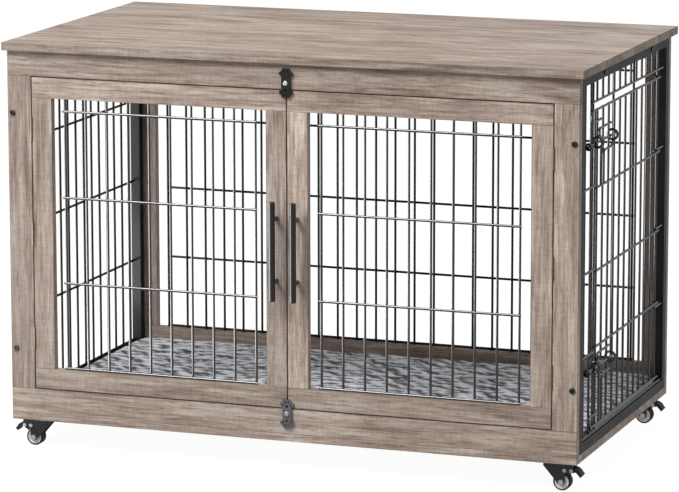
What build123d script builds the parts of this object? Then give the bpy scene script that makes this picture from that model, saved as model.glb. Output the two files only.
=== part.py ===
"""Furniture-style wire dog crate on casters.

Frame of the model: millimetres, +Z up, the two front doors face -Y, +X to the right, the origin
on the floor under the middle of the overall box.  A laminated-board carcass (top, bottom, front
frame and rear frame) is held apart by a square-tube steel frame at each end.  Welded wire grids
fill the openings; the right-hand end has a wire door with two slide bolts.
"""
import math
import os

from build123d import *

# ---------------------------------------------------------------- driving dimensions
TOP_WIDTH, TOP_DEPTH, TOP_THICK = 1200.0, 683.0, 16.0
BODY_WIDTH = 1182.0                # outside of the carcass under the top board
FRONT_OVERHANG, REAR_OVERHANG = 7.5, 18.0
BOARD = 15.5                       # thickness of every other board
FRAME_HEIGHT = 733.0               # between the bottom board and the top board
CASTER_HEIGHT = 58.0
POST, RAIL = 50.0, 49.5            # widths of the carcass frame boards
TUBE, TUBE_WALL = 20.0, 1.5
WIRE = 5.0                         # diameter of every wire
WELD = 0.4                         # how far two crossing wires sink into each other
SEAT = 6.0                         # how deep a wire end goes into a board
WIRE_INSET = 25.0                  # outermost wire to the board beside it

DOOR_GAP, SEAM = 2.2, 2.4          # round each front door, and between the two doors
DOOR_STILE, DOOR_RAIL = 42.0, 41.0
DOOR_WIRES, DOOR_BARS, DOOR_BAR_STEP = 10, 4, 173.3
REAR_WIRES, REAR_BARS, REAR_BAR_STEP = 25, 5, 151.0
SIDE_PITCH, SIDE_WIRES = 40.0, 14
MAT_THICK, MAT_CLEAR, MAT_LAP = 30.0, 3.0, 10.0

HANDLE_BAR, HANDLE_LENGTH, HANDLE_CENTRES = 13.0, 197.0, 124.0
HANDLE_STAND, HANDLE_POST = 26.0, 9.0   # bar axis to door face, and post diameter
HANDLE_X, HANDLE_Z = 21.7, 440.5

# ---------------------------------------------------------------- places worked out from them
HALF = BODY_WIDTH / 2
HANDLE_REACH = HANDLE_STAND + HANDLE_BAR / 2
REAR_EDGE = (TOP_DEPTH - FRONT_OVERHANG + HANDLE_REACH) / 2
FRONT = REAR_EDGE - TOP_DEPTH + FRONT_OVERHANG      # front face of the carcass
REAR = REAR_EDGE - REAR_OVERHANG                    # rear face of the carcass
FLOOR = CASTER_HEIGHT + BOARD                       # top of the bottom board
CEILING = FLOOR + FRAME_HEIGHT                      # underside of the top board
RAIL_LOW, RAIL_HIGH = FLOOR + RAIL, CEILING - RAIL
POST_IN = HALF - POST
TUBE_FRONT, TUBE_REAR = FRONT + BOARD + TUBE, REAR - BOARD - TUBE   # inner faces of end frames
MIDDLE = (FRONT + REAR) / 2
TUBE_X = HALF - TUBE / 2
BOARD_SCREW_X = HALF - 13.5                         # clear of the wires' level bars
R = WIRE / 2
UP, BACK, RIGHT = Vector(0, 0, 1), Vector(0, 1, 0), Vector(1, 0, 0)

os.makedirs("parts", exist_ok=True)


def save(name, *solids):
    """Write one sub-part; several solids stay separate pieces of that sub-part."""
    shape = solids[0] if len(solids) == 1 else Compound(children=list(solids))
    export_step(shape, f"parts/{name}.step")


def block(x, y, z):
    """A board or bar between two places along each axis."""
    (x0, x1), (y0, y1), (z0, z1) = sorted(x), sorted(y), sorted(z)
    return Pos((x0 + x1) / 2, (y0 + y1) / 2, (z0 + z1) / 2) * Box(x1 - x0, y1 - y0, z1 - z0)


def rod(start, end, radius=R):
    """A round bar from one point to another."""
    start, end = Vector(*start), Vector(*end)
    return Solid.make_cylinder(radius, (end - start).length, Plane(start, z_dir=end - start))


def ring(centre, radius, normal=BACK, wire=R):
    """A closed wire ring whose plane is square to the normal."""
    return Solid.make_torus(radius, wire, Plane(Vector(*centre), z_dir=normal))


def fused(solids):
    """Weld a list of solids into one."""
    return solids[0].fuse(*solids[1:]).clean()


def pan_screw(place, direction, length, shank=2.5, head=5.0, head_height=2.4, socket=0.0):
    """A pan-head screw: the head stands on a face at place, the shank goes in along direction.
    A socket is a hexagonal recess in the head, given by the radius of its corners."""
    place, direction = Vector(*place), Vector(*direction)
    top = place - direction * head_height
    body = rod(top, place + direction * length, shank)
    cap = Solid.make_cylinder(head, head_height, Plane(top, z_dir=direction))
    cap = cap.fillet(head_height * 0.6, [cap.edges().sort_by(lambda e: e.center().dot(direction))[0]])
    screw = fused([cap, body])
    if socket:
        screw -= extrude(Plane(top, z_dir=direction) * RegularPolygon(socket, 6), head_height * 0.7)
    return screw


def hole(place, direction, length, radius=2.7):
    """The cutter for a screw hole or a wire's seat."""
    place, direction = Vector(*place), Vector(*direction)
    return rod(place, place + direction * length, radius)


# ---------------------------------------------------------------- end frames of square tube
BOARD_SCREW_Y = [MIDDLE - 240, MIDDLE, MIDDLE + 240]
POST_SCREW_Z = [204.0, 681.0]
BAND_BOLT_Y = [-152.0, 188.0]


def tube(x, y, z, along):
    """A square tube, open at both ends."""
    walls = [x, y, z]
    inside = [(min(w) + TUBE_WALL, max(w) - TUBE_WALL) for w in walls]
    inside[along] = (min(walls[along]) - 1, max(walls[along]) + 1)
    return block(*walls) - block(*inside)


def end_frame(side):
    """Four tubes, the level ones between the uprights, drilled for the screws."""
    x = (side * (HALF - TUBE), side * HALF)
    front_y, rear_y = (TUBE_FRONT - TUBE, TUBE_FRONT), (TUBE_REAR, TUBE_REAR + TUBE)
    between = (TUBE_FRONT, TUBE_REAR)
    front = tube(x, front_y, (FLOOR, CEILING), 2)
    rear = tube(x, rear_y, (FLOOR, CEILING), 2)
    low = tube(x, between, (FLOOR, FLOOR + TUBE), 1)
    high = tube(x, between, (CEILING - TUBE, CEILING), 1)
    for z in POST_SCREW_Z:
        front -= hole((side * TUBE_X, TUBE_FRONT - TUBE - 1, z), BACK, 5)
        rear -= hole((side * TUBE_X, TUBE_REAR + TUBE + 1, z), -BACK, 5)
    for y in BOARD_SCREW_Y:
        low -= hole((side * BOARD_SCREW_X, y, FLOOR - 1), UP, 5)
        high -= hole((side * BOARD_SCREW_X, y, CEILING - TUBE - 1), UP, TUBE + 2)
    for y in BAND_BOLT_Y:
        high -= hole((side * (HALF + 1), y, CEILING - TUBE / 2), -RIGHT * side, 5)
    return [front, rear, low, high]


save("left_side_frame", *end_frame(-1))
save("right_side_frame", *end_frame(1))

# ---------------------------------------------------------------- top and bottom boards
bottom_board = block((-HALF, HALF), (FRONT, REAR), (CASTER_HEIGHT, FLOOR))
top_board = block((-TOP_WIDTH / 2, TOP_WIDTH / 2), (REAR_EDGE - TOP_DEPTH, REAR_EDGE),
                  (CEILING, CEILING + TOP_THICK))
for side in (-1, 1):
    for y in BOARD_SCREW_Y:
        bottom_board -= hole((side * BOARD_SCREW_X, y, CASTER_HEIGHT - 1), UP, BOARD + 2)
        bottom_board -= hole((side * BOARD_SCREW_X, y, CASTER_HEIGHT - 1), UP, 4, 5.2)
        top_board -= hole((side * BOARD_SCREW_X, y, CEILING - 1), UP, 11.5)

# ---------------------------------------------------------------- casters
CASTER_X, CASTER_INSET = 538.0, 33.0     # swivel axis from the middle, and in from each face
PLATE_X, PLATE_Y, PLATE_THICK = 50.0, 38.0, 2.5
PLATE_SCREW_X, PLATE_SCREW_Y = 19.0, 13.0
RACE_RADIUS, FORK_TOP, FORK_SHEET = 12.0, 6.1, 2.0   # fork top below the bottom board
FORK_HALF = 13.0                         # half the width over the fork's cheeks
TRAIL, WHEEL_R, WHEEL_WIDTH = 16.5, 17.5, 20.0
AXLE_R, HUB_R = 3.0, 14.3
PIVOT_U, PIVOT_DROP, STOP_U = 36.7, 16.8, 23.0       # brake pivot and stop rivet on the cheeks
CASTERS = [(f"{end}_{hand}", side, y)
           for end, y in (("front", FRONT + CASTER_INSET), ("rear", REAR - CASTER_INSET))
           for hand, side in (("left", -1), ("right", 1))]


def place_caster(side, y):
    """Caster frame: u points outwards from the swivel axis, z is down from the bottom board."""
    turn = Rot(0, 0, 180) if side < 0 else Rot(0, 0, 0)
    return Pos(side * CASTER_X, y, CASTER_HEIGHT) * turn


def across(radius, u, z, reach):
    """A bar through the fork from cheek to cheek."""
    return rod((u, -reach, z), (u, reach, z), radius)


def caster_plate():
    """Plate, ball race and riveted king pin that the fork turns on."""
    plate = block((-PLATE_X / 2, PLATE_X / 2), (-PLATE_Y / 2, PLATE_Y / 2), (-PLATE_THICK, 0))
    plate = fillet(plate.edges().filter_by(Axis.Z), 5)
    race = rod((0, 0, -PLATE_THICK), (0, 0, -FORK_TOP + 0.2), RACE_RADIUS)
    pin = rod((0, 0, -PLATE_THICK), (0, 0, -FORK_TOP - FORK_SHEET - 1), 4.0)
    head = rod((0, 0, -FORK_TOP - FORK_SHEET - 2.2), (0, 0, -FORK_TOP - FORK_SHEET - 0.2), 7.0)
    plate = fused([plate.solid(), race, pin, head])
    for u in (-PLATE_SCREW_X, PLATE_SCREW_X):
        for v in (-PLATE_SCREW_Y, PLATE_SCREW_Y):
            plate -= hole((u, v, -PLATE_THICK - 1), UP, PLATE_THICK + 2, 1.9)
    return plate


def fork():
    """Pressed sheet yoke: a top plate and two cheeks that taper down to the axle."""
    boss = Pos(TRAIL, 0) * Circle(7)
    cheek = make_face(Polyline((-20, 0), (40, 0), (40, -13), (34, -17), (24, -17), (23, -33),
                               (11, -39), (-20, -3.5), close=True).moved(Pos(0, -FORK_TOP)))
    outline = cheek + Pos(0, WHEEL_R - CASTER_HEIGHT) * boss
    solid = extrude(Plane.XZ * outline, FORK_HALF, both=True)
    solid -= block((-60, 80), (FORK_SHEET - FORK_HALF, FORK_HALF - FORK_SHEET),
                   (-CASTER_HEIGHT, -FORK_TOP - FORK_SHEET))
    for radius, u, z in ((AXLE_R + 0.1, TRAIL, WHEEL_R - CASTER_HEIGHT),
                         (2.1, PIVOT_U, -PIVOT_DROP), (2.1, STOP_U, -PIVOT_DROP)):
        solid -= across(radius, u, z, FORK_HALF + 1)
    return solid - hole((0, 0, -FORK_TOP - FORK_SHEET - 1), UP, FORK_SHEET + 2, 4.06)


def axle():
    """Axle bolt with a hexagon head and nut, and the two rivets above the wheel."""
    pieces = []
    z = WHEEL_R - CASTER_HEIGHT
    hexagon = extrude(Plane.XZ * (Pos(TRAIL, z) * RegularPolygon(5.8, 6)), 4.0)
    pieces.append(fused([across(AXLE_R, TRAIL, z, FORK_HALF + 2),
                         (Pos(0, -FORK_HALF, 0) * hexagon).solid(),
                         (Pos(0, FORK_HALF + 4, 0) * hexagon).solid()]))
    for u in (PIVOT_U, STOP_U):
        heads = [rod((u, s * FORK_HALF, -PIVOT_DROP), (u, s * (FORK_HALF + 1.6), -PIVOT_DROP), 3.8)
                 for s in (-1, 1)]
        pieces.append(fused([across(2.0, u, -PIVOT_DROP, FORK_HALF + 1)] + heads))
    return pieces


def hub():
    """Moulded wheel centre, dished on both faces, running on the axle."""
    z = WHEEL_R - CASTER_HEIGHT
    body = across(HUB_R, TRAIL, z, WHEEL_WIDTH / 2 - 0.8)
    for s in (-1, 1):
        body -= rod((TRAIL, s * 7.5, z), (TRAIL, s * 12, z), 11.5)
    body = fused([body.solid(), across(6.0, TRAIL, z, WHEEL_WIDTH / 2)])
    return body - across(AXLE_R + 0.06, TRAIL, z, WHEEL_WIDTH)


def tyre():
    """Rubber tread with rounded shoulders."""
    z = WHEEL_R - CASTER_HEIGHT
    body = across(WHEEL_R, TRAIL, z, WHEEL_WIDTH / 2)
    body = body.fillet(2.0, body.edges().filter_by(GeomType.CIRCLE))
    return body - across(HUB_R, TRAIL, z, WHEEL_WIDTH)


def brake():
    """Brake lever between the cheeks: a shoe that bears on the tread and a pedal outside."""
    pedal = make_face(Polyline((0, 5), (7, 5), (14, 1), (19, -6), (21.3, -8.5), (17, -13.4),
                               (13.5, -9), (8, -3.5), (0, -5), close=True))
    angle = math.degrees(math.atan2(WHEEL_R - CASTER_HEIGHT + PIVOT_DROP, TRAIL - PIVOT_U))
    shoe = Rot(0, 0, angle) * Pos(6.4, 0) * Rectangle(12.8, 5)
    outline = pedal + Circle(5) + shoe
    lever = extrude(Plane.XZ * (Pos(PIVOT_U, -PIVOT_DROP) * outline), FORK_HALF - FORK_SHEET - 1,
                    both=True)
    return lever - across(2.06, PIVOT_U, -PIVOT_DROP, FORK_HALF)


plates, plate_screws = [], []
for name, side, y in CASTERS:
    home = place_caster(side, y)
    plates.append(home * caster_plate())
    for u in (-PLATE_SCREW_X, PLATE_SCREW_X):
        for v in (-PLATE_SCREW_Y, PLATE_SCREW_Y):
            screw_at = (side * CASTER_X + u, y + v, CASTER_HEIGHT - PLATE_THICK)
            plate_screws.append(pan_screw(screw_at, UP, PLATE_THICK + 10, 1.7, 3.4, 1.6))
            bottom_board -= hole(screw_at, UP, PLATE_THICK + 10.5, 1.8)
    save(f"{name}_fork", home * fork())
    save(f"{name}_axle", *[home * piece for piece in axle()])
    save(f"{name}_hub", home * hub())
    save(f"{name}_tyre", home * tyre())
    save(f"{name}_brake", home * brake())
save("caster_plates", *plates)
save("caster_plate_screws", *plate_screws)
save("bottom_board", bottom_board)
save("top_board", top_board)

# ---------------------------------------------------------------- front and rear board frames
HINGE_Z, HINGE_LENGTH = [228.0, 440.0, 652.0], 46.0
HINGE_X, HINGE_Y = POST_IN - DOOR_GAP / 2, FRONT - 1.0
KNUCKLE_R, PIN_R, LEAF = 2.0, 0.9, 0.65
LATCH_Z = [CEILING - 37.0, FLOOR + 41.0]
LATCH_GAP, LATCH_THICK = 1.0, 3.5


def hinge_relief(side):
    """Cutters that make room for the hinge barrels in the edges of a post and a door."""
    return [rod((side * HINGE_X, HINGE_Y, z - HINGE_LENGTH / 2 - 0.5),
                (side * HINGE_X, HINGE_Y, z + HINGE_LENGTH / 2 + 0.5), KNUCKLE_R + 0.4)
            for z in HINGE_Z]


def spread(first, last, count):
    """Equally spaced places from first to last."""
    return [first + (last - first) * k / (count - 1) for k in range(count)]


WIRE_DEPTH = 9.5                          # wire axis in from the face of its board frame
BAR_OFFSET = WIRE - WELD                  # level wires lie against the outside of the uprights
REAR_WIRE_X = spread(WIRE_INSET - POST_IN, POST_IN - WIRE_INSET, REAR_WIRES)

for end, face, inward in (("front", FRONT, BACK), ("rear", REAR, -BACK)):
    y = (face, face + inward.Y * BOARD)
    for hand, side in (("left", -1), ("right", 1)):
        post = block((side * POST_IN, side * HALF), y, (RAIL_LOW, RAIL_HIGH))
        for z in POST_SCREW_Z:
            post -= hole((side * TUBE_X, face - inward.Y, z), inward, BOARD + 2)
        if end == "front":
            post -= hinge_relief(side)
        save(f"{end}_{hand}_post", post)
    low = block((-HALF, HALF), y, (FLOOR, RAIL_LOW))
    high = block((-HALF, HALF), y, (RAIL_HIGH, CEILING))
    if end == "front":
        high -= hole((0, face - 1, LATCH_Z[0]), inward, 13.5, 2.5)
        low -= hole((0, face - 1, LATCH_Z[1]), inward, 13.5, 2.5)
    else:
        seat_y = face + inward.Y * WIRE_DEPTH
        low -= [hole((x, seat_y, RAIL_LOW - SEAT - 0.5), UP, SEAT + 1) for x in REAR_WIRE_X]
        high -= [hole((x, seat_y, RAIL_HIGH + SEAT + 0.5), -UP, SEAT + 1) for x in REAR_WIRE_X]
    save(f"{end}_bottom_rail", low)
    save(f"{end}_top_rail", high)

# ---------------------------------------------------------------- screws of the carcass
screws = []
for side in (-1, 1):
    for z in POST_SCREW_Z:
        for face, inward in ((FRONT, BACK), (REAR, -BACK)):
            screws.append(pan_screw((side * TUBE_X, face, z), inward, BOARD + 6, 2.5, 6.2, 2.8, 2.6))
    for y in BAND_BOLT_Y:
        screws.append(pan_screw((side * HALF, y, CEILING - TUBE / 2), -RIGHT * side, 8))
    for y in BOARD_SCREW_Y:
        screws.append(pan_screw((side * BOARD_SCREW_X, y, CASTER_HEIGHT + 2.6), UP, BOARD + 3))
        screws.append(pan_screw((side * BOARD_SCREW_X, y, CEILING - TUBE), UP, TUBE + 10))
save("frame_screws", *screws)


# ---------------------------------------------------------------- welded wire grids
def grid(xs, wire_y, bar_y, z_ends, bar_zs, overrun=4.0):
    """Upright wires at xs with level bars welded across them on one face."""
    wires = [rod((x, wire_y, z_ends[0]), (x, wire_y, z_ends[1])) for x in xs]
    ends = (min(xs) - overrun, max(xs) + overrun)
    bars = [rod((ends[0], bar_y, z), (ends[1], bar_y, z)) for z in bar_zs]
    return fused(wires + bars)


rear_bars = [RAIL_LOW + R + REAR_BAR_STEP * k for k in range(REAR_BARS)]
save("rear_wire_panel", grid(REAR_WIRE_X, REAR - WIRE_DEPTH, REAR - WIRE_DEPTH + BAR_OFFSET,
                             (RAIL_LOW - SEAT, RAIL_HIGH + SEAT), rear_bars))

SIDE_WIRE_X = HALF - 9.5                  # upright wires of both ends
SIDE_BAR_X = SIDE_WIRE_X + BAR_OFFSET
SIDE_LOW, SIDE_HIGH = FLOOR + TUBE, CEILING - TUBE
side_ys = [MIDDLE + SIDE_PITCH * (k - (SIDE_WIRES - 1) / 2) for k in range(SIDE_WIRES)]
left_bars = [SIDE_LOW + R] + [SIDE_LOW + R + 173.0 * k for k in (1, 2, 3)] + [SIDE_HIGH - R]
left_wires = [rod((-SIDE_WIRE_X, y, SIDE_LOW), (-SIDE_WIRE_X, y, SIDE_HIGH)) for y in side_ys]
left_wires += [rod((-SIDE_BAR_X, TUBE_FRONT, z), (-SIDE_BAR_X, TUBE_REAR, z)) for z in left_bars]
save("left_wire_panel", fused(left_wires))

# ---------------------------------------------------------------- right end: fixed wires
FIXED_Y, DOOR_WIRE_Y, HINGE_WIRE_Y = side_ys[:2], side_ys[2:-1], side_ys[-1]
STUB_X = SIDE_WIRE_X + WIRE                 # level fixed wires touch the uprights
DOOR_BAR_Z = [108.0, 263.0, 413.0, 576.5, 729.0]
STUB_Z = [256.0, 419.5, 583.0]
LINTEL_Z, LINTEL_Y = 746.0, (FIXED_Y[1] - 14, HINGE_WIRE_Y + 18)
BOLT_X, BOLT_Z = HALF - 3.5, [222.5, 664.5]    # slide bolts run outside the upright wires
KEEPER_R, EYE_R = 5.5, 10.0                    # keeper and guide eyes, to the wire's middle

fixed = [rod((SIDE_WIRE_X, y, SIDE_LOW), (SIDE_WIRE_X, y, SIDE_HIGH)) for y in FIXED_Y + [HINGE_WIRE_Y]]
fixed += [rod((SIDE_WIRE_X, y, LINTEL_Z - R), (SIDE_WIRE_X, y, SIDE_HIGH)) for y in DOOR_WIRE_Y]
fixed += [rod((STUB_X, LINTEL_Y[0], LINTEL_Z), (STUB_X, LINTEL_Y[1], LINTEL_Z)),
          rod((STUB_X, TUBE_FRONT, SIDE_LOW + R), (STUB_X, TUBE_REAR, SIDE_LOW + R))]
for z in STUB_Z:
    fixed += [rod((STUB_X, TUBE_FRONT, z), (STUB_X, FIXED_Y[1] + 10, z)),
              rod((STUB_X, HINGE_WIRE_Y - 24, z), (STUB_X, TUBE_REAR, z))]
fixed += [ring((BOLT_X, FIXED_Y[0] + WIRE, z), KEEPER_R) for z in BOLT_Z]
save("right_fixed_wires", *fixed)

# ---------------------------------------------------------------- right end: side door
LOOP_R = WIRE + 0.3                                   # hinge loop round the fixed upright
DOOR_BAR_X = SIDE_WIRE_X + LOOP_R
DOOR_WIRE_X = DOOR_BAR_X - BAR_OFFSET
DOOR_EDGE_Y = -188.0
LIP_FRONT, LIP_BACK, LIP_DROP = -224.0, -160.0, 22.0  # bent lips that lap over the fixed upright
GUIDE_Y, GUIDE_DROP = [-181.5, -82.0], 22.0           # the eyes that a bolt slides in
LEG_Y = [-160.0, -141.0]


def bent(*points, radius=7.0, closed_by=()):
    """A wire bent through the points, with any further edges that carry on from its end."""
    path = FilletPolyline(*points, radius=radius) if len(points) > 2 else Line(*points)
    path = Wire(path.edges() + list(closed_by))
    return sweep(Plane(path @ 0, z_dir=path % 0) * Circle(R), path).solid()


def hinge_loop(z):
    """The curl of a level wire round the fixed upright that the door hangs on."""
    return Plane(Vector(SIDE_WIRE_X, HINGE_WIRE_Y, z)) * CenterArc((0, 0), LOOP_R, 0, 262)


door = [rod((DOOR_WIRE_X, y, DOOR_BAR_Z[0] - BAR_OFFSET - R), (DOOR_WIRE_X, y, DOOR_BAR_Z[-1]))
        for y in DOOR_WIRE_Y + [DOOR_EDGE_Y]]
for z in DOOR_BAR_Z:
    front, start = DOOR_EDGE_Y - 4, ()
    if z == DOOR_BAR_Z[0]:
        front = LIP_FRONT + 7
    if z == DOOR_BAR_Z[-1]:
        start = ((DOOR_BAR_X, LIP_BACK, z - LIP_DROP), (DOOR_BAR_X, LIP_FRONT, z - LIP_DROP))
        front = LIP_FRONT
    door.append(bent(*start, (DOOR_BAR_X, front, z), (DOOR_BAR_X, HINGE_WIRE_Y, z),
                     closed_by=hinge_loop(z).edges()))
low = DOOR_BAR_Z[0]
door.append(rod((DOOR_BAR_X, DOOR_EDGE_Y - 4, low - BAR_OFFSET), (DOOR_BAR_X, 236, low - BAR_OFFSET)))
door.append(bent((DOOR_BAR_X, LIP_BACK, low + LIP_DROP), (DOOR_BAR_X, LIP_FRONT - 7, low + LIP_DROP),
                 (DOOR_BAR_X, LIP_FRONT - 2, low + 12), (DOOR_BAR_X, LIP_FRONT + 12, low - 5), radius=4))
for z, bar in zip(BOLT_Z, (DOOR_BAR_Z[0], DOOR_BAR_Z[-2])):
    door += [ring((BOLT_X, y, z), EYE_R) for y in GUIDE_Y + [GUIDE_Y[0] - 8]]
    door.append(rod((DOOR_BAR_X, LEG_Y[0], bar), (BOLT_X + 5.4, GUIDE_Y[0], z - 8.4)))
    door.append(bent((DOOR_BAR_X, LEG_Y[1], bar), (DOOR_BAR_X, LEG_Y[1], z - GUIDE_DROP),
                     (DOOR_BAR_X, GUIDE_Y[1], z - GUIDE_DROP), (DOOR_BAR_X, GUIDE_Y[1], z - EYE_R)))
save("side_door_wires", fused(door))

# ---------------------------------------------------------------- slide bolts of the side door
BOLT_FRONT, BOLT_BACK = -258.0, -56.0
GRIP_HIGH, GRIP_FRONT, GRIP_BACK, GRIP_FOOT = 25.5, -174.5, -94.0, -130.0
for name, z in (("lower_bolt", BOLT_Z[0]), ("upper_bolt", BOLT_Z[1])):
    grip = bent((BOLT_X, GRIP_FOOT, z), (BOLT_X, GRIP_FRONT, z + 10), (BOLT_X, GRIP_FRONT, z + GRIP_HIGH),
                (BOLT_X, GRIP_BACK, z + GRIP_HIGH), radius=5.5)
    save(name, fused([rod((BOLT_X, BOLT_FRONT, z), (BOLT_X, BOLT_BACK, z)), grip]))

# ---------------------------------------------------------------- front doors
DOOR_LOW, DOOR_HIGH = RAIL_LOW + DOOR_GAP, RAIL_HIGH - DOOR_GAP
DOOR_IN, DOOR_OUT = SEAM / 2, POST_IN - DOOR_GAP
PANE_LOW, PANE_HIGH = DOOR_LOW + DOOR_RAIL, DOOR_HIGH - DOOR_RAIL
DOOR_Y = (FRONT, FRONT + BOARD)
PANE_X = spread(DOOR_IN + DOOR_STILE + WIRE_INSET, DOOR_OUT - DOOR_STILE - WIRE_INSET, DOOR_WIRES)
PANE_BARS = [PANE_LOW + R + DOOR_BAR_STEP * k for k in range(DOOR_BARS)]
THIRD = HINGE_LENGTH / 3


def knuckle(side, z0, z1):
    """One barrel section of a butt hinge."""
    return rod((side * HINGE_X, HINGE_Y, z0), (side * HINGE_X, HINGE_Y, z1), KNUCKLE_R)


def leaf(side, edge, z, sections):
    """A hinge leaf against a board's edge, with its barrel sections."""
    x = (edge, edge + math.copysign(LEAF, side * HINGE_X - edge))
    low = z - HINGE_LENGTH / 2
    pieces = [block(x, (HINGE_Y + KNUCKLE_R + 0.2, FRONT + 13.5), (low, low + HINGE_LENGTH)).solid()]
    for k in sections:
        span = (low + k * THIRD + 0.1, low + (k + 1) * THIRD - 0.1)
        pieces.append(knuckle(side, *span))
        pieces.append(block(x, (HINGE_Y, HINGE_Y + KNUCKLE_R + 0.3), span).solid())
    return pieces


post_leaves = []
for side in (-1, 1):
    for z in HINGE_Z:
        foot, tip = ((side * HINGE_X, HINGE_Y, z + half * HINGE_LENGTH / 2) for half in (-1, 1))
        pin = rod(foot, tip, PIN_R)
        post_leaves.append(fused(leaf(side, side * POST_IN, z, (0, 2)) + [pin]))
save("post_hinge_leaves", *post_leaves)

for hand, side in (("left", -1), ("right", 1)):
    inner, outer = side * DOOR_IN, side * DOOR_OUT
    pane_in, pane_out = side * (DOOR_IN + DOOR_STILE), side * (DOOR_OUT - DOOR_STILE)
    outer_stile = block((pane_out, outer), DOOR_Y, (PANE_LOW, PANE_HIGH)) - hinge_relief(side)
    low = block((inner, outer), DOOR_Y, (DOOR_LOW, PANE_LOW))
    high = block((inner, outer), DOOR_Y, (PANE_HIGH, DOOR_HIGH))
    low -= [hole((side * x, FRONT + WIRE_DEPTH, PANE_LOW - SEAT - 0.5), UP, SEAT + 1) for x in PANE_X]
    high -= [hole((side * x, FRONT + WIRE_DEPTH, PANE_HIGH + SEAT + 0.5), -UP, SEAT + 1) for x in PANE_X]
    save(f"{hand}_door_inner_stile", block((inner, pane_in), DOOR_Y, (PANE_LOW, PANE_HIGH)))
    save(f"{hand}_door_outer_stile", outer_stile)
    save(f"{hand}_door_bottom_rail", low)
    save(f"{hand}_door_top_rail", high)
    save(f"{hand}_door_wires",
         grid([side * x for x in PANE_X], FRONT + WIRE_DEPTH, FRONT + WIRE_DEPTH - BAR_OFFSET,
              (PANE_LOW - SEAT, PANE_HIGH + SEAT), PANE_BARS))
    bore = rod((side * HINGE_X, HINGE_Y, DOOR_LOW), (side * HINGE_X, HINGE_Y, DOOR_HIGH), PIN_R + 0.05)
    save(f"{hand}_door_hinge_leaves", *[fused(leaf(side, outer, z, (1,))) - bore for z in HINGE_Z])
    x, bar_y = side * HANDLE_X, FRONT - HANDLE_STAND
    bar = rod((x, bar_y, HANDLE_Z - HANDLE_LENGTH / 2), (x, bar_y, HANDLE_Z + HANDLE_LENGTH / 2),
              HANDLE_BAR / 2)
    legs = [rod((x, FRONT, HANDLE_Z + s * HANDLE_CENTRES / 2), (x, bar_y, HANDLE_Z + s * HANDLE_CENTRES / 2),
                HANDLE_POST / 2) - bar for s in (-1, 1)]
    save(f"{hand}_door_handle", chamfer(bar.edges().filter_by(GeomType.CIRCLE), 0.8), *legs)

# ---------------------------------------------------------------- paw-ended turn latches
PAW_TOES = [(9.6, 18.5, 4.4, 7.9, 17.3, 1.7), (4.0, 24.0, 5.0, 3.2, 23.2, 1.8)]
SCREW_R = 2.4


def latch_outline():
    """A short bar with a paw at each end; the pads and toes are pierced."""
    shape, holes = Rectangle(18.8, 26), Circle(SCREW_R + 0.07)
    for way in (0, 180):
        turn = Rot(0, 0, way)
        shape += turn * Pos(0, 16) * Circle(9)
        holes += turn * Pos(0, 14.4) * Circle(2.9)
        for x, z, r, hole_x, hole_z, hole_r in PAW_TOES:
            for s in (-1, 1):
                shape += turn * Pos(s * x, z) * Circle(r)
                holes += turn * Pos(s * hole_x, hole_z) * Circle(hole_r)
    return shape - holes


latch_screws = []
for name, z in zip(("top_latch", "bottom_latch"), LATCH_Z):
    plate = extrude(Plane.XZ.offset(-FRONT + LATCH_GAP) * (Pos(0, z) * latch_outline()), LATCH_THICK)
    save(name, plate)
    head_y = FRONT - LATCH_GAP - LATCH_THICK - 0.2
    washer = rod((0, FRONT - LATCH_GAP + 0.1, z), (0, FRONT, z), 6.0)
    screw = pan_screw((0, head_y, z), BACK, FRONT - head_y + 12, SCREW_R, 4.6, 2.6)
    latch_screws.append(fused([screw, washer]))
save("latch_screws", *latch_screws)

# ---------------------------------------------------------------- mat
MAT_HALF, LAP_LOW = HALF - TUBE - MAT_CLEAR, FLOOR + TUBE + 0.3
mat = block((-MAT_HALF, MAT_HALF), (FRONT + BOARD + MAT_CLEAR, REAR - BOARD - MAT_CLEAR),
            (FLOOR, FLOOR + MAT_THICK))
lap = block((-MAT_HALF - MAT_LAP, MAT_HALF + MAT_LAP), (TUBE_FRONT + MAT_CLEAR, TUBE_REAR - MAT_CLEAR),
            (LAP_LOW, FLOOR + MAT_THICK))
save("mat", fused([fillet(mat.edges(), 9), fillet(lap.edges(), 4)]))
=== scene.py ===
"""Furniture-style wire dog crate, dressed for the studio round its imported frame."""
import math

import bpy
import numpy as np
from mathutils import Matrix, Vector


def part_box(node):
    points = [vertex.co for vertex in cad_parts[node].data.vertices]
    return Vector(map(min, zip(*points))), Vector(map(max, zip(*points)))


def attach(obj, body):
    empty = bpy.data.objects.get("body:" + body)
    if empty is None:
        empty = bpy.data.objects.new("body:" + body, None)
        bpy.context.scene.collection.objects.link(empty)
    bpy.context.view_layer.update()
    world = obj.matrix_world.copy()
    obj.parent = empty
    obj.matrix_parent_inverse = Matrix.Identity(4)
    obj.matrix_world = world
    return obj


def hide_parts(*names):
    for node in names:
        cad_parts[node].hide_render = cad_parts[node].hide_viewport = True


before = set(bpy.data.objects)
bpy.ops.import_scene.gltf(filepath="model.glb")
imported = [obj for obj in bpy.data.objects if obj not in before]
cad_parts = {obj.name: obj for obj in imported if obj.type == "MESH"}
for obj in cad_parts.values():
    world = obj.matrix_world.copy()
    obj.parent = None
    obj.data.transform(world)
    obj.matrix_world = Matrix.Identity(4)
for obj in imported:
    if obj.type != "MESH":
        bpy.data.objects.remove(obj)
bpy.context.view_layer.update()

# ---------------------------------------------------------------------------------------------
# Studio: a pale floor, one large soft box high on the front left, a weaker one on the right and
# another behind. The camera stands well back at the front right and looks down about ten degrees.
scene = bpy.context.scene
scene.view_settings.view_transform = "Standard"
scene.view_settings.look = "None"
CAMERA_PLACE = (2.6249, -7.2946, 1.8691)
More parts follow.
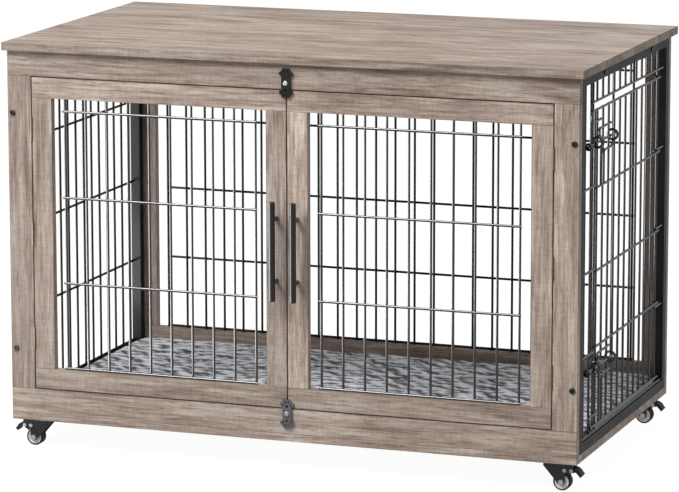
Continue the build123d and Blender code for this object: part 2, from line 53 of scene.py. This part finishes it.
CAMERA_TURN, CAMERA_TILT = 19.46, 10.228              # degrees
SENSOR, LENS = 36.0, 206.4502                         # millimetres
SHIFT = (-0.037482, -0.056716)                        # the lens axis is a little off the middle
FLOOR_REACH = 40.0


def srgb(code):
    """An sRGB hex colour as linear light: each channel is c/12.92 below 0.04045, and above it
    ((c + 0.055) / 1.055) to the power 2.4."""
    values = [int(code[k:k + 2], 16) / 255 for k in (1, 3, 5)]
    return tuple(c / 12.92 if c <= 0.04045 else ((c + 0.055) / 1.055) ** 2.4 for c in values) + (1.0,)


def add(tree, kind, inputs=(), **settings):
    """Adds one node to a tree. inputs maps a socket's name or number to a value or to the output
    that feeds it, and settings are the node's own properties. A ramp takes its stops as a list."""
    node = tree.nodes.new(kind)
    stops = settings.pop("stops", None)
    for name, value in settings.items():
        setattr(node, name, value)
    if stops:
        ramp = node.color_ramp
        while len(ramp.elements) < len(stops):
            ramp.elements.new(0.5)
        for element, (place, colour) in zip(ramp.elements, stops):
            element.position, element.color = place, colour
    for name, value in dict(inputs).items():
        if isinstance(value, bpy.types.NodeSocket):
            tree.links.new(value, node.inputs[name])
        else:
            node.inputs[name].default_value = value
    return node


def new_material(name):
    """An empty node material with its output, ready for one surface shader."""
    material = bpy.data.materials.new(name)
    material.use_nodes = True
    material.node_tree.nodes.clear()
    return material, material.node_tree


def surface(tree, inputs):
    """Ends a material with a Principled shader and the output."""
    shader = add(tree, "ShaderNodeBsdfPrincipled", inputs)
    add(tree, "ShaderNodeOutputMaterial", {"Surface": shader.outputs[0]})


def grey(value):
    """A grey for a ramp's stop."""
    return (value, value, value, 1.0)


camera = bpy.data.objects.new("camera", bpy.data.cameras.new("camera"))
scene.collection.objects.link(camera)
camera.location = CAMERA_PLACE
camera.rotation_euler = (math.radians(90 - CAMERA_TILT), 0, math.radians(CAMERA_TURN))
camera.data.sensor_width, camera.data.lens = SENSOR, LENS
camera.data.shift_x, camera.data.shift_y = SHIFT
camera.data.clip_start, camera.data.clip_end = 0.5, 200.0
scene.camera = camera

floor_material, tree = new_material("studio_paper_white")
grain = add(tree, "ShaderNodeTexNoise", {"Scale": 3.0, "Detail": 2.0})
tint = add(tree, "ShaderNodeValToRGB", {"Fac": grain.outputs["Fac"]},
           stops=[(0.0, grey(0.12)), (1.0, grey(0.14))])
surface(tree, {"Base Color": tint.outputs["Color"], "Roughness": 0.9, "Specular IOR Level": 0.1,
               "Emission Color": (1, 1, 1, 1), "Emission Strength": 0.95})
floor_mesh = bpy.data.meshes.new("studio_floor")
floor_mesh.from_pydata([(x * FLOOR_REACH, y * FLOOR_REACH, 0)
                        for x, y in ((-1, -1), (1, -1), (1, 1), (-1, 1))], [], [(0, 1, 2, 3)])
floor = bpy.data.objects.new("studio_floor", floor_mesh)
floor_mesh.materials.append(floor_material)
scene.collection.objects.link(floor)
floor.visible_diffuse = floor.visible_glossy = False

world = bpy.data.worlds.new("studio_air")
scene.world = world
world.use_nodes = True
world.node_tree.nodes["Background"].inputs["Color"].default_value = (1.0, 1.0, 1.0, 1.0)
world.node_tree.nodes["Background"].inputs["Strength"].default_value = 0.36

TARGET = np.array([0.0, 0.0, 0.42])
for light_name, bearing, height, distance, size, power in (        # degrees, metres, watts
        ("key_box", -34.0, 50.0, 5.0, 2.2, 280.0), ("side_box", 62.0, 30.0, 5.0, 1.2, 26.0),
        ("rear_box", 170.0, 45.0, 5.5, 2.4, 60.0)):
    lamp = bpy.data.objects.new(light_name, bpy.data.lights.new(light_name, "AREA"))
    lamp.data.shape, lamp.data.size, lamp.data.energy = "SQUARE", size, power
    a, e = math.radians(bearing), math.radians(height)
    away = np.array([math.sin(a) * math.cos(e), -math.cos(a) * math.cos(e), math.sin(e)])
    lamp.location = TARGET + away * distance
    lamp.rotation_euler = (math.radians(90 - height), 0, a)
    scene.collection.objects.link(lamp)

# A reflector sheet on the floor at the left, seen only in glossy things, which puts the pale line
# down the left of each upright wire. It is a sector of a ring: radius times sine and cosine.
SHEET_NEAR, SHEET_FAR, SHEET_BEARINGS, SHEET_GLOW = 1.0, 7.0, (-108.0, -42.0), 7.0
SHEET_STEPS, SHEET_LIFT = 13, 0.003
turn = np.radians(np.linspace(*SHEET_BEARINGS, SHEET_STEPS))
arcs = np.stack([np.column_stack([r * np.sin(turn), -r * np.cos(turn), np.full(SHEET_STEPS, SHEET_LIFT)])
                 for r in (SHEET_NEAR, SHEET_FAR)])
sheet_mesh = bpy.data.meshes.new("reflector_sheet")
sheet_mesh.from_pydata([tuple(p) for p in arcs.reshape(-1, 3)], [],
                       [(k, k + SHEET_STEPS, k + SHEET_STEPS + 1, k + 1) for k in range(SHEET_STEPS - 1)])
sheet_material, tree = new_material("reflector_sheet_white")
surface(tree, {"Base Color": grey(0.0), "Emission Color": grey(1.0), "Emission Strength": SHEET_GLOW})
sheet_mesh.materials.append(sheet_material)
sheet = bpy.data.objects.new("reflector_sheet", sheet_mesh)
scene.collection.objects.link(sheet)
sheet.visible_camera = sheet.visible_diffuse = sheet.visible_shadow = sheet.visible_transmission = False

# ---------------------------------------------------------------------------------------------
# Boards: particle board faced with an oak-print melamine paper, and edge-banded in the same
# print. Satin, greige, with long soft streaks along the grain, short dark pores, faint marks of
# the saw across it, and a fine dark line along each board's edges: the glue line where the banding
# meets the face, and painted shade in the seams between boards.
OAK_DARK, OAK_MID, OAK_PALE = srgb("#7d6b5e"), srgb("#a8968a"), srgb("#c6b8ab")
PORE_BROWN, GLUE_AND_SEAM_SHADE_BROWN = srgb("#57463b"), srgb("#3a2d26")
STREAK_WIDTH, FLECK_WIDTH, BAND_WIDTH = 0.0062, 0.0034, 0.045      # across the grain, metres
SAW_PITCH, GLUE_AND_SEAM_SHADE_LINE, EDGE_ROUND = 0.0034, 0.0006, 0.0006
BOARDS = {                                            # node: way of the grain, figure, tone; the tone is painted light and shade, a brightness per board
    "top_board": (0, 0.0, 0.83), "bottom_board": (0, 1.7, 1.1),
    "front_top_rail": (0, 3.1, 0.86), "front_bottom_rail": (0, 4.9, 1.03),
    "rear_top_rail": (0, 6.2, 0.95), "rear_bottom_rail": (0, 7.7, 0.95),
    "front_left_post": (2, 8.3, 0.86), "front_right_post": (2, 9.9, 1.13),
    "rear_left_post": (2, 11.2, 0.95), "rear_right_post": (2, 12.4, 0.95),
    "left_door_outer_stile": (2, 13.6, 0.99), "left_door_inner_stile": (2, 14.8, 0.92),
    "left_door_top_rail": (0, 16.1, 0.98), "left_door_bottom_rail": (0, 17.3, 0.92),
    "right_door_outer_stile": (2, 18.9, 1.1), "right_door_inner_stile": (2, 20.2, 1.25),
    "right_door_top_rail": (0, 21.4, 1), "right_door_bottom_rail": (0, 22.6, 0.95)}


def oak_melamine(name, along, figure, tone):
    """The printed paper on one board. The pattern is read from the place on the board, drawn out
    along the grain, and moved by the figure's number so that no two boards match. The dark line
    is where the place is nearer than its width to an end of the board's box on two axes: the glue
    line of the banding, and painted shade in the seams between boards."""
    material, tree = new_material("oak_melamine_" + name)
    place = add(tree, "ShaderNodeTexCoord").outputs["Object"]

    def drawn_out(stretch, across=1.0):
        scale = [across, across, across]
        scale[along] = stretch
        start = (figure, figure * 0.37, figure * 0.71)
        mapping = add(tree, "ShaderNodeMapping", {"Vector": place, "Scale": scale, "Location": start})
        return mapping.outputs[0]

    bands = add(tree, "ShaderNodeTexNoise", {"Vector": drawn_out(0.16), "Scale": 1 / BAND_WIDTH,
                                             "Detail": 3.0, "Distortion": 1.1})
    streaks = add(tree, "ShaderNodeTexNoise", {"Vector": drawn_out(0.05), "Scale": 1 / STREAK_WIDTH,
                                               "Detail": 4.0, "Roughness": 0.62, "Distortion": 0.5})
    flecks = add(tree, "ShaderNodeTexNoise", {"Vector": drawn_out(0.13), "Scale": 1 / FLECK_WIDTH,
                                              "Detail": 2.0, "Roughness": 0.6})
    saw = add(tree, "ShaderNodeTexNoise", {"Vector": drawn_out(1.0, 0.12), "Scale": 1 / SAW_PITCH,
                                           "Detail": 2.0})
    figured = add(tree, "ShaderNodeMix", {0: 0.40, 2: streaks.outputs["Fac"], 3: bands.outputs["Fac"]})
    colour = add(tree, "ShaderNodeValToRGB", {"Fac": figured.outputs[0]},
                 stops=[(0.36, OAK_DARK), (0.50, OAK_MID), (0.63, OAK_PALE)])
    pore_mask = add(tree, "ShaderNodeMapRange", {"Value": flecks.outputs["Fac"],
                                                 1: 0.53, 2: 0.70, 3: 0.0, 4: 0.42})
    marked = add(tree, "ShaderNodeMix",
                 {0: pore_mask.outputs[0], 6: colour.outputs["Color"], 7: PORE_BROWN}, data_type="RGBA")
    # The saw marks are scaled by the board's tone, which is painted light and shade: each board made paler
    # or darker to suit how the light falls on it.
    saw_marks_and_painted_light = add(tree, "ShaderNodeMapRange", {"Value": saw.outputs["Fac"], 1: 0.34, 2: 0.66,
                                                 3: 0.92 * tone, 4: 1.08 * tone})
    sawn_with_painted_light = add(tree, "ShaderNodeVectorMath", {0: marked.outputs[2], "Scale": saw_marks_and_painted_light.outputs[0]},
               operation="SCALE")
    # Painted shade with the glue line: every edge of the board's box is darkened, standing in for the shade
    # in the seams between boards as well as the banding's glue line.
    low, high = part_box(name)
    axes = add(tree, "ShaderNodeSeparateXYZ", {"Vector": place})
    near = []
    for k in range(3):
        centred = add(tree, "ShaderNodeMath", {0: axes.outputs[k], 1: (low[k] + high[k]) / 2},
                      operation="SUBTRACT")
        size = add(tree, "ShaderNodeMath", {0: centred.outputs[0]}, operation="ABSOLUTE")
        near.append(add(tree, "ShaderNodeMath", {0: size.outputs[0], 1: (high[k] - low[k]) / 2 - GLUE_AND_SEAM_SHADE_LINE},
                        operation="GREATER_THAN"))
    ends = add(tree, "ShaderNodeMath", {0: near[0].outputs[0], 1: near[1].outputs[0]})
    ends = add(tree, "ShaderNodeMath", {0: ends.outputs[0], 1: near[2].outputs[0]})
    edge = add(tree, "ShaderNodeMath", {0: ends.outputs[0], 1: 1.5}, operation="GREATER_THAN")
    line = add(tree, "ShaderNodeMath", {0: edge.outputs[0], 1: 0.55}, operation="MULTIPLY")
    glued_and_seam_shaded = add(tree, "ShaderNodeMix", {0: line.outputs[0], 6: sawn_with_painted_light.outputs[0], 7: GLUE_AND_SEAM_SHADE_BROWN},
                data_type="RGBA")
    relief = add(tree, "ShaderNodeMath", {0: streaks.outputs["Fac"], 1: pore_mask.outputs[0]},
                 operation="SUBTRACT")
    soft_edge = add(tree, "ShaderNodeBevel", {"Radius": EDGE_ROUND}, samples=4)
    bump = add(tree, "ShaderNodeBump", {"Strength": 0.25, "Distance": 0.0002, "Height": relief.outputs[0],
                                        "Normal": soft_edge.outputs[0]})
    rough = add(tree, "ShaderNodeMapRange", {"Value": streaks.outputs["Fac"],
                                             1: 0.3, 2: 0.7, 3: 0.42, 4: 0.56})
    surface(tree, {"Base Color": glued_and_seam_shaded.outputs[2], "Roughness": rough.outputs[0], "Normal": bump.outputs[0],
                   "Specular IOR Level": 0.35})
    return material


def dress(material, *nodes):
    """Gives carried-over nodes their finish."""
    for name in nodes:
        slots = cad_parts[name].data.materials
        slots.clear()
        slots.append(material)


for board, (along, figure, tone) in BOARDS.items():
    dress(oak_melamine(board, along, figure, tone), board)

# ---------------------------------------------------------------------------------------------
# End frames and wires: mild-steel tube and drawn wire, spot-welded, then baked in black powder.
# The powder gives a satin skin with a very fine orange peel. The wires at the back and the left
# are a darker, duller copy of the doors' and the right end's wires, painted shade; the tubes also
# give less light back from their skin than the doors' and the right end's wires.
POWDER_PEEL = 0.0009                                   # drawn coarser than the real 0.3 mm


def powder_coat(name, hue, roughness, mottle, coat=0.4, shine=0.5):
    """Baked powder: one colour with a slow drift of tone, peel in the bump, and a clear skin. The
    coat is how strong that skin is, and the shine how much the powder under it gives back."""
    material, tree = new_material(name)
    place = add(tree, "ShaderNodeTexCoord").outputs["Object"]
    peel = add(tree, "ShaderNodeTexNoise", {"Vector": place, "Scale": 1 / POWDER_PEEL, "Detail": 2.0})
    drift = add(tree, "ShaderNodeTexNoise", {"Vector": place, "Scale": 14.0, "Detail": 3.0})
    pale = tuple(c * (1 + mottle) + 0.001 for c in hue[:3]) + (1.0,)
    colour = add(tree, "ShaderNodeValToRGB", {"Fac": drift.outputs["Fac"]},
                 stops=[(0.35, hue), (0.65, pale)])
    bump = add(tree, "ShaderNodeBump", {"Strength": 0.18, "Distance": 0.0001,
                                        "Height": peel.outputs["Fac"]})
    rough = add(tree, "ShaderNodeMapRange", {"Value": drift.outputs["Fac"], 1: 0.3, 2: 0.7,
                                             3: roughness - 0.04, 4: roughness + 0.05})
    surface(tree, {"Base Color": colour.outputs["Color"], "Roughness": rough.outputs[0],
                   "Normal": bump.outputs[0], "Specular IOR Level": shine, "IOR": 1.5,
                   "Coat Weight": coat, "Coat Roughness": 0.10, "Coat IOR": 1.7})
    return material


wire_black = powder_coat("black_powder_coat_wire", srgb("#080809"), 0.24, 0.4, 1.0, 0.7)
# Painted shade: the rear and left wires get a darker, duller copy of the wire finish.
painted_shade_wire = powder_coat("black_powder_coat_wire_painted_shade", srgb("#050505"), 0.4, 0.4, 0.1, 0.3)
tube_black = powder_coat("black_powder_coat_tube", srgb("#161718"), 0.42, 0.3, 0.1, 0.3)
handle_black = powder_coat("black_powder_coat_handle", srgb("#131415"), 0.30, 0.3)
fork_black = powder_coat("black_powder_coat_fork", srgb("#161719"), 0.28, 0.2)
CASTERS = [f"{end}_{hand}" for end in ("front", "rear") for hand in ("left", "right")]
dress(wire_black, "right_fixed_wires", "side_door_wires", "upper_bolt", "lower_bolt", "left_door_wires",
      "right_door_wires")
dress(painted_shade_wire, "rear_wire_panel", "left_wire_panel")
dress(tube_black, "left_side_frame", "right_side_frame")
dress(handle_black, "left_door_handle", "right_door_handle")
dress(fork_black, *[caster + "_fork" for caster in CASTERS])

# ---------------------------------------------------------------------------------------------
# Turn latches: die-cut steel plates with a paw at each end. The upper one is stove-enamelled
# black, the lower one is left in dark grey phosphate. Both turn on a bright pan-head screw.
dress(powder_coat("black_stove_enamel", srgb("#0e0e0f"), 0.2, 0.2), "top_latch")
dress(powder_coat("grey_phosphate", srgb("#55565a"), 0.48, 0.3), "bottom_latch")


def bright_zinc(name, hue, roughness):
    """Bright zinc plate: fine drawn scratches and a faint clouding over a pale metal."""
    material, tree = new_material(name)
    place = add(tree, "ShaderNodeTexCoord").outputs["Object"]
    cloud = add(tree, "ShaderNodeTexNoise", {"Vector": place, "Scale": 160.0, "Detail": 4.0})
    scratch = add(tree, "ShaderNodeTexNoise", {
        "Vector": add(tree, "ShaderNodeMapping", {"Vector": place, "Scale": (1.0, 0.1, 0.15)}).outputs[0],
        "Scale": 2600.0, "Detail": 2.0})
    colour = add(tree, "ShaderNodeValToRGB", {"Fac": cloud.outputs["Fac"]},
                 stops=[(0.3, tuple(c * 0.72 for c in hue[:3]) + (1.0,)), (0.7, hue)])
    rough = add(tree, "ShaderNodeMapRange", {"Value": cloud.outputs["Fac"], 1: 0.3, 2: 0.7,
                                             3: roughness - 0.06, 4: roughness + 0.08})
    bump = add(tree, "ShaderNodeBump", {"Strength": 0.12, "Distance": 0.00005,
                                        "Height": scratch.outputs["Fac"]})
    surface(tree, {"Base Color": colour.outputs["Color"], "Metallic": 1.0, "Roughness": rough.outputs[0],
                   "Normal": bump.outputs[0]})
    return material


zinc = bright_zinc("bright_zinc_plate", srgb("#ececee"), 0.42)
dress(zinc, "latch_screws", "caster_plate_screws", "caster_plates",
      *[caster + "_axle" for caster in CASTERS])

# ---------------------------------------------------------------------------------------------
# Hinges and frame screws: small butt hinges in a dull nickel plate, pinned through three
# knuckles; the frame screws are blackened pan heads that pull the boards onto the tubes.
nickel = bright_zinc("brushed_nickel_plate", srgb("#8e8278"), 0.45)
dress(nickel, "post_hinge_leaves", "left_door_hinge_leaves", "right_door_hinge_leaves")
dress(powder_coat("blackened_screw_steel", srgb("#060606"), 0.34, 0.3), "frame_screws")

# ---------------------------------------------------------------------------------------------
# Mat: a thin foam pad in a short plush cover, embossed all over with staggered dark streaks and
# piped along its side seam. It lies loose on the bottom board, swells a little under its cover,
# and its two ends lap over the end frames' lower tubes.
MAT_LOW, MAT_HIGH = (np.array(corner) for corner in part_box("mat"))
MAT_INSET, MAT_CAP = 0.0025, 0.0025                   # start smaller, and how far a point may move
MAT_LAP = 0.010                                       # how far an end laps over its tube
LAP_LOW, LAP_FRONT, LAP_REAR = 0.0938, -0.283, 0.2975  # a lap's underside and its two ends
CORE_ROUND, LAP_ROUND, LAP_RISE = 0.006, 0.003, 0.0012
PLAN_STEPS, RIM_STEPS = 12, 9                         # points round a corner, rings up the edge
VOXEL, MARGIN = 0.0065, 0.0003
PRESSURE, STIFFNESS, CLOTH_TICKS = 4.0, 25.0, 12
TUFT_X, TUFT_Y, TUFT_DEEP = 0.041, 0.024, 0.0028      # pitch across, pitch in depth, groove depth
PIPING, RIM_CORNER, RIM_CLEAR, RIM_DROP = 0.0028, 0.020, 0.0004, 0.001
RIM_POINTS, PIPING_POINTS = 160, 10                   # round the mat, round the cord


def rounded_slab(low, high, radius):
    """A closed slab on a grid: the height goes round the rim as a half circle, and the plan is a
    rectangle whose corners are quarter circles."""
    centre, half = (low + high) / 2, (high - low) / 2
    t = np.linspace(0, 2 * np.pi, 4 * PLAN_STEPS, endpoint=False)
    corner = radius * 1.6
    plan = np.stack([np.sign(np.cos(t)) * (half[0] - corner) + corner * np.cos(t),
                     np.sign(np.sin(t)) * (half[1] - corner) + corner * np.sin(t)], 1)
    rim = np.linspace(-np.pi / 2, np.pi / 2, RIM_STEPS)
    rings = [np.column_stack([plan * ((half[:2] - radius + radius * math.cos(r)) / half[:2]),
                              np.full(len(t), half[2] * math.sin(r))]) for r in rim]
    points = np.vstack(rings) + centre
    n = len(t)
    faces = [(k * n + i, k * n + (i + 1) % n, (k + 1) * n + (i + 1) % n, (k + 1) * n + i)
             for k in range(len(rim) - 1) for i in range(n)]
    faces += [tuple(range(n))[::-1], tuple(range((len(rim) - 1) * n, len(rim) * n))]
    return points, faces


def new_piece(name, points, faces, material, body, slot):
    """A finished piece that rides on a body and takes its place from its own mesh."""
    mesh = bpy.data.meshes.new(name)
    mesh.from_pydata([tuple(p) for p in points], [], faces)
    mesh.materials.append(material)
    mesh.polygons.foreach_set("use_smooth", np.ones(len(mesh.polygons), bool))
    piece = bpy.data.objects.new(name, mesh)
    scene.collection.objects.link(piece)
    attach(piece, body)
    return piece


def applied(piece, *kinds):
    """Adds modifiers in turn and keeps their result as the piece's own mesh."""
    for kind, settings in kinds:
        modifier = piece.modifiers.new(kind.lower(), kind)
        for name, value in settings.items():
            setattr(modifier, name, value)
    evaluated = piece.evaluated_get(bpy.context.evaluated_depsgraph_get())
    mesh = bpy.data.meshes.new_from_object(evaluated)
    piece.modifiers.clear()
    piece.data = mesh


def places(mesh):
    """A mesh's points as an array of rows."""
    points = np.empty(len(mesh.vertices) * 3, np.float32)
    mesh.vertices.foreach_get("co", points)
    return points.reshape(-1, 3).astype(float)


def plush_cover():
    """Short plush: pale grey pile over a dark ground that shows in the embossed streaks, with the
    pile's lie changing from place to place, and a faint sheen at a low angle."""
    material, tree = new_material("embossed_grey_plush")
    place = add(tree, "ShaderNodeTexCoord").outputs["Object"]
    groove = add(tree, "ShaderNodeAttribute", attribute_name="groove").outputs["Fac"]
    pile = add(tree, "ShaderNodeTexNoise", {"Vector": place, "Scale": 300.0, "Detail": 4.0,
                                            "Roughness": 0.7})
    lie = add(tree, "ShaderNodeTexNoise", {"Vector": place, "Scale": 55.0, "Detail": 3.0,
                                           "Distortion": 0.8})
    tone = add(tree, "ShaderNodeMix", {0: 0.5, 2: pile.outputs["Fac"], 3: lie.outputs["Fac"]})
    colour = add(tree, "ShaderNodeValToRGB", {"Fac": tone.outputs[0]},
                 stops=[(0.36, srgb("#a2a4ab")), (0.50, srgb("#cfd1d6")), (0.64, srgb("#efeff3"))])
    dark = add(tree, "ShaderNodeMix", {0: groove, 6: colour.outputs["Color"], 7: srgb("#26282d")},
               data_type="RGBA")
    bump = add(tree, "ShaderNodeBump", {"Strength": 0.55, "Distance": 0.0012, "Height": tone.outputs[0]})
    surface(tree, {"Base Color": dark.outputs[2], "Roughness": 0.92, "Normal": bump.outputs[0],
                   "Specular IOR Level": 0.12, "Sheen Weight": 0.12, "Sheen Roughness": 0.45})
    return material


plush = plush_cover()
core_low, core_high = MAT_LOW + MAT_INSET, MAT_HIGH - MAT_INSET
core_low[0], core_high[0] = core_low[0] + MAT_LAP, core_high[0] - MAT_LAP
lap_low = np.array([MAT_LOW[0] + MAT_INSET, LAP_FRONT + MAT_INSET, LAP_LOW + LAP_RISE])
lap_high = np.array([MAT_HIGH[0] - MAT_INSET, LAP_REAR - MAT_INSET, core_high[2]])
core, lap = rounded_slab(core_low, core_high, CORE_ROUND), rounded_slab(lap_low, lap_high, LAP_ROUND)
pad = new_piece("mat_pad", np.vstack([core[0], lap[0]]),
                core[1] + [tuple(k + len(core[0]) for k in face) for face in lap[1]],
                plush, "crate", "mat_fabric")
applied(pad, ("REMESH", {"mode": "VOXEL", "voxel_size": VOXEL, "use_smooth_shade": True}))
before = places(pad.data)
cloth = pad.modifiers.new("cloth", "CLOTH")
cloth.settings.use_pressure = True
cloth.settings.uniform_pressure_force = PRESSURE
cloth.settings.effector_weights.gravity = 0.0
cloth.settings.tension_stiffness = cloth.settings.compression_stiffness = STIFFNESS
cloth.settings.quality = 4
for tick in range(1, CLOTH_TICKS + 1):
    scene.frame_set(tick)
applied(pad)
scene.frame_set(1)
swollen = places(pad.data)
move = swollen - before
length = np.linalg.norm(move, axis=1, keepdims=True)
swollen = before + move * np.minimum(1.0, MAT_CAP / np.maximum(length, 1e-9))
swollen[:, 2] = np.clip(swollen[:, 2], MAT_LOW[2] + MARGIN, MAT_HIGH[2] - MARGIN)
pad.data.vertices.foreach_set("co", swollen.ravel())
applied(pad, ("SUBSURF", {"levels": 1, "render_levels": 1}))


def tuft_groove(x, y):
    """How deep the embossing is at a place on the mat, 0 to 1. The cover is laid out in staggered
    cells; each holds a slanting lens-shaped streak, deepest where u squared over its half length
    squared plus v squared over its half width squared is nought, and gone where the sum is one.
    Each cell's own numbers are the fractions left from large multiples of a sine."""
    deepest = np.zeros(len(x))
    for up in (-1, 0, 1):
        for along in (-1, 0, 1):
            row = np.floor(y / TUFT_Y) + up
            shift = x / TUFT_X + 0.5 * np.mod(row, 2)
            column = np.floor(shift) + along
            wander = np.mod(np.sin(row * 12.9898 + column * 78.233) * 43758.5453, 1.0)
            second, third = np.mod(wander * 7.31, 1.0), np.mod(wander * 23.7, 1.0)
            u = (shift - column - 0.5 + 0.5 * (wander - 0.5)) * TUFT_X
            v = (y / TUFT_Y - row - 0.5 + 0.5 * (second - 0.5)) * TUFT_Y
            slant = 0.7 * (third - 0.5) + 0.25 * np.sin(x * 9.0 + y * 5.0)
            u, v = u + 0.3 * v, v + u * slant + 0.10 * TUFT_Y * np.sin(u * 240 + wander * 6.0)
            half_length, half_width = TUFT_X * (0.42 + 0.22 * second), TUFT_Y * (0.30 + 0.18 * third)
            reach = (u / half_length) ** 2 + (v / half_width) ** 2
            deepest = np.maximum(deepest, np.clip((1.0 - reach) * 2.6, 0, 1) * (0.7 + 0.3 * second))
    return deepest


points = places(pad.data)
normals = np.empty(len(points) * 3, np.float32)
pad.data.vertices.foreach_get("normal", normals)
normals = normals.reshape(-1, 3)
depth = tuft_groove(points[:, 0], points[:, 1]) * np.clip(normals[:, 2] * 1.5, 0, 1)
points -= normals * (depth * TUFT_DEEP)[:, None]
pad.data.vertices.foreach_set("co", points.ravel())
attribute = pad.data.attributes.new("groove", "FLOAT", "POINT")
attribute.data.foreach_set("value", depth.astype(np.float32))
pad.data.polygons.foreach_set("use_smooth", np.ones(len(pad.data.polygons), bool))
pad.data.update()
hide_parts("mat")


def carried_along(path, radius, around):
    """A tube: each ring is the path's point plus radius times cosine of the path's side way plus
    sine of its up way, and the rings close on the first."""
    forward = np.roll(path, -1, 0) - np.roll(path, 1, 0)
    forward /= np.linalg.norm(forward, axis=1, keepdims=True)
    up = np.array([0.0, 0.0, 1.0])
    side = np.cross(forward, up)
    t = np.linspace(0, 2 * np.pi, around, endpoint=False)
    rings = path[:, None] + radius * (np.cos(t)[None, :, None] * side[:, None]
                                      + np.sin(t)[None, :, None] * up)
    n, m = len(path), around
    faces = [(i * m + j, i * m + (j + 1) % m, ((i + 1) % n) * m + (j + 1) % m, ((i + 1) % n) * m + j)
             for i in range(n) for j in range(m)]
    return rings.reshape(-1, 3), faces


rim_half = (MAT_HIGH - MAT_LOW)[:2] / 2 - PIPING - RIM_CLEAR
rim_half[0] -= MAT_LAP
rim_turn = np.linspace(0, 2 * np.pi, RIM_POINTS, endpoint=False)
rim = np.column_stack([
    np.sign(np.cos(rim_turn)) * (rim_half[0] - RIM_CORNER) + RIM_CORNER * np.cos(rim_turn),
    np.sign(np.sin(rim_turn)) * (rim_half[1] - RIM_CORNER) + RIM_CORNER * np.sin(rim_turn),
    np.full(RIM_POINTS, (MAT_HIGH[2] - MAT_LOW[2]) / 2 - RIM_DROP)])
rim += np.array([(MAT_LOW[0] + MAT_HIGH[0]) / 2, (MAT_LOW[1] + MAT_HIGH[1]) / 2, MAT_LOW[2]])
new_piece("mat_piping", *carried_along(rim, PIPING, PIPING_POINTS), plush, "crate", "mat_fabric")

# ---------------------------------------------------------------------------------------------
# Casters: twin-cheek pressed forks with a moulded wheel: a pale grey nylon centre, dark round
# the axle, in a black rubber tread, and a moulded brake pedal. Bright axle nuts and rivets.
WHEEL_X, WHEEL_Z, BOSS = 0.5545, 0.0175, 0.0066        # the wheels' middles, and the dark part


def moulded(name, hue, roughness, speckle):
    """A moulding: one colour, a fine spark-eroded grain in the bump and a trace of dust."""
    material, tree = new_material(name)
    place = add(tree, "ShaderNodeTexCoord").outputs["Object"]
    fine = add(tree, "ShaderNodeTexNoise", {"Vector": place, "Scale": 1300.0, "Detail": 2.0})
    slow = add(tree, "ShaderNodeTexNoise", {"Vector": place, "Scale": 60.0, "Detail": 3.0})
    pale = tuple(min(1.0, c * (1 + speckle) + 0.006) for c in hue[:3]) + (1.0,)
    colour = add(tree, "ShaderNodeValToRGB", {"Fac": slow.outputs["Fac"]},
                 stops=[(0.35, hue), (0.7, pale)])
    bump = add(tree, "ShaderNodeBump", {"Strength": 0.2, "Distance": 0.0001,
                                        "Height": fine.outputs["Fac"]})
    return material, tree, place, colour, {"Roughness": roughness, "Normal": bump.outputs[0], "IOR": 1.5}


rubber, tree, place, colour, rest = moulded("black_rubber_tread", srgb("#1b1b1c"), 0.62, 0.5)
surface(tree, {"Base Color": colour.outputs["Color"], **rest})
pedal, tree, place, colour, rest = moulded("black_nylon_pedal", srgb("#161617"), 0.4, 0.4)
surface(tree, {"Base Color": colour.outputs["Color"], **rest})
nylon, tree, place, colour, rest = moulded("grey_nylon_centre", srgb("#f3f4f3"), 0.4, 0.1)
axes = add(tree, "ShaderNodeSeparateXYZ", {"Vector": place})
out = add(tree, "ShaderNodeMath", {0: axes.outputs[0]}, operation="ABSOLUTE")
out = add(tree, "ShaderNodeMath", {0: out.outputs[0], 1: WHEEL_X}, operation="SUBTRACT")
rise = add(tree, "ShaderNodeMath", {0: axes.outputs[2], 1: WHEEL_Z}, operation="SUBTRACT")
flat = add(tree, "ShaderNodeCombineXYZ", {0: out.outputs[0], 1: rise.outputs[0]})
radius = add(tree, "ShaderNodeVectorMath", {0: flat.outputs[0]}, operation="LENGTH")
inside = add(tree, "ShaderNodeMath", {0: radius.outputs[1], 1: BOSS}, operation="LESS_THAN")
hub_colour = add(tree, "ShaderNodeMix",
                 {0: inside.outputs[0], 6: colour.outputs["Color"], 7: srgb("#4a4b4d")}, data_type="RGBA")
surface(tree, {"Base Color": hub_colour.outputs[2], **rest})
for caster in CASTERS:
    dress(nylon, caster + "_hub")
    dress(rubber, caster + "_tyre")
    dress(pedal, caster + "_brake")
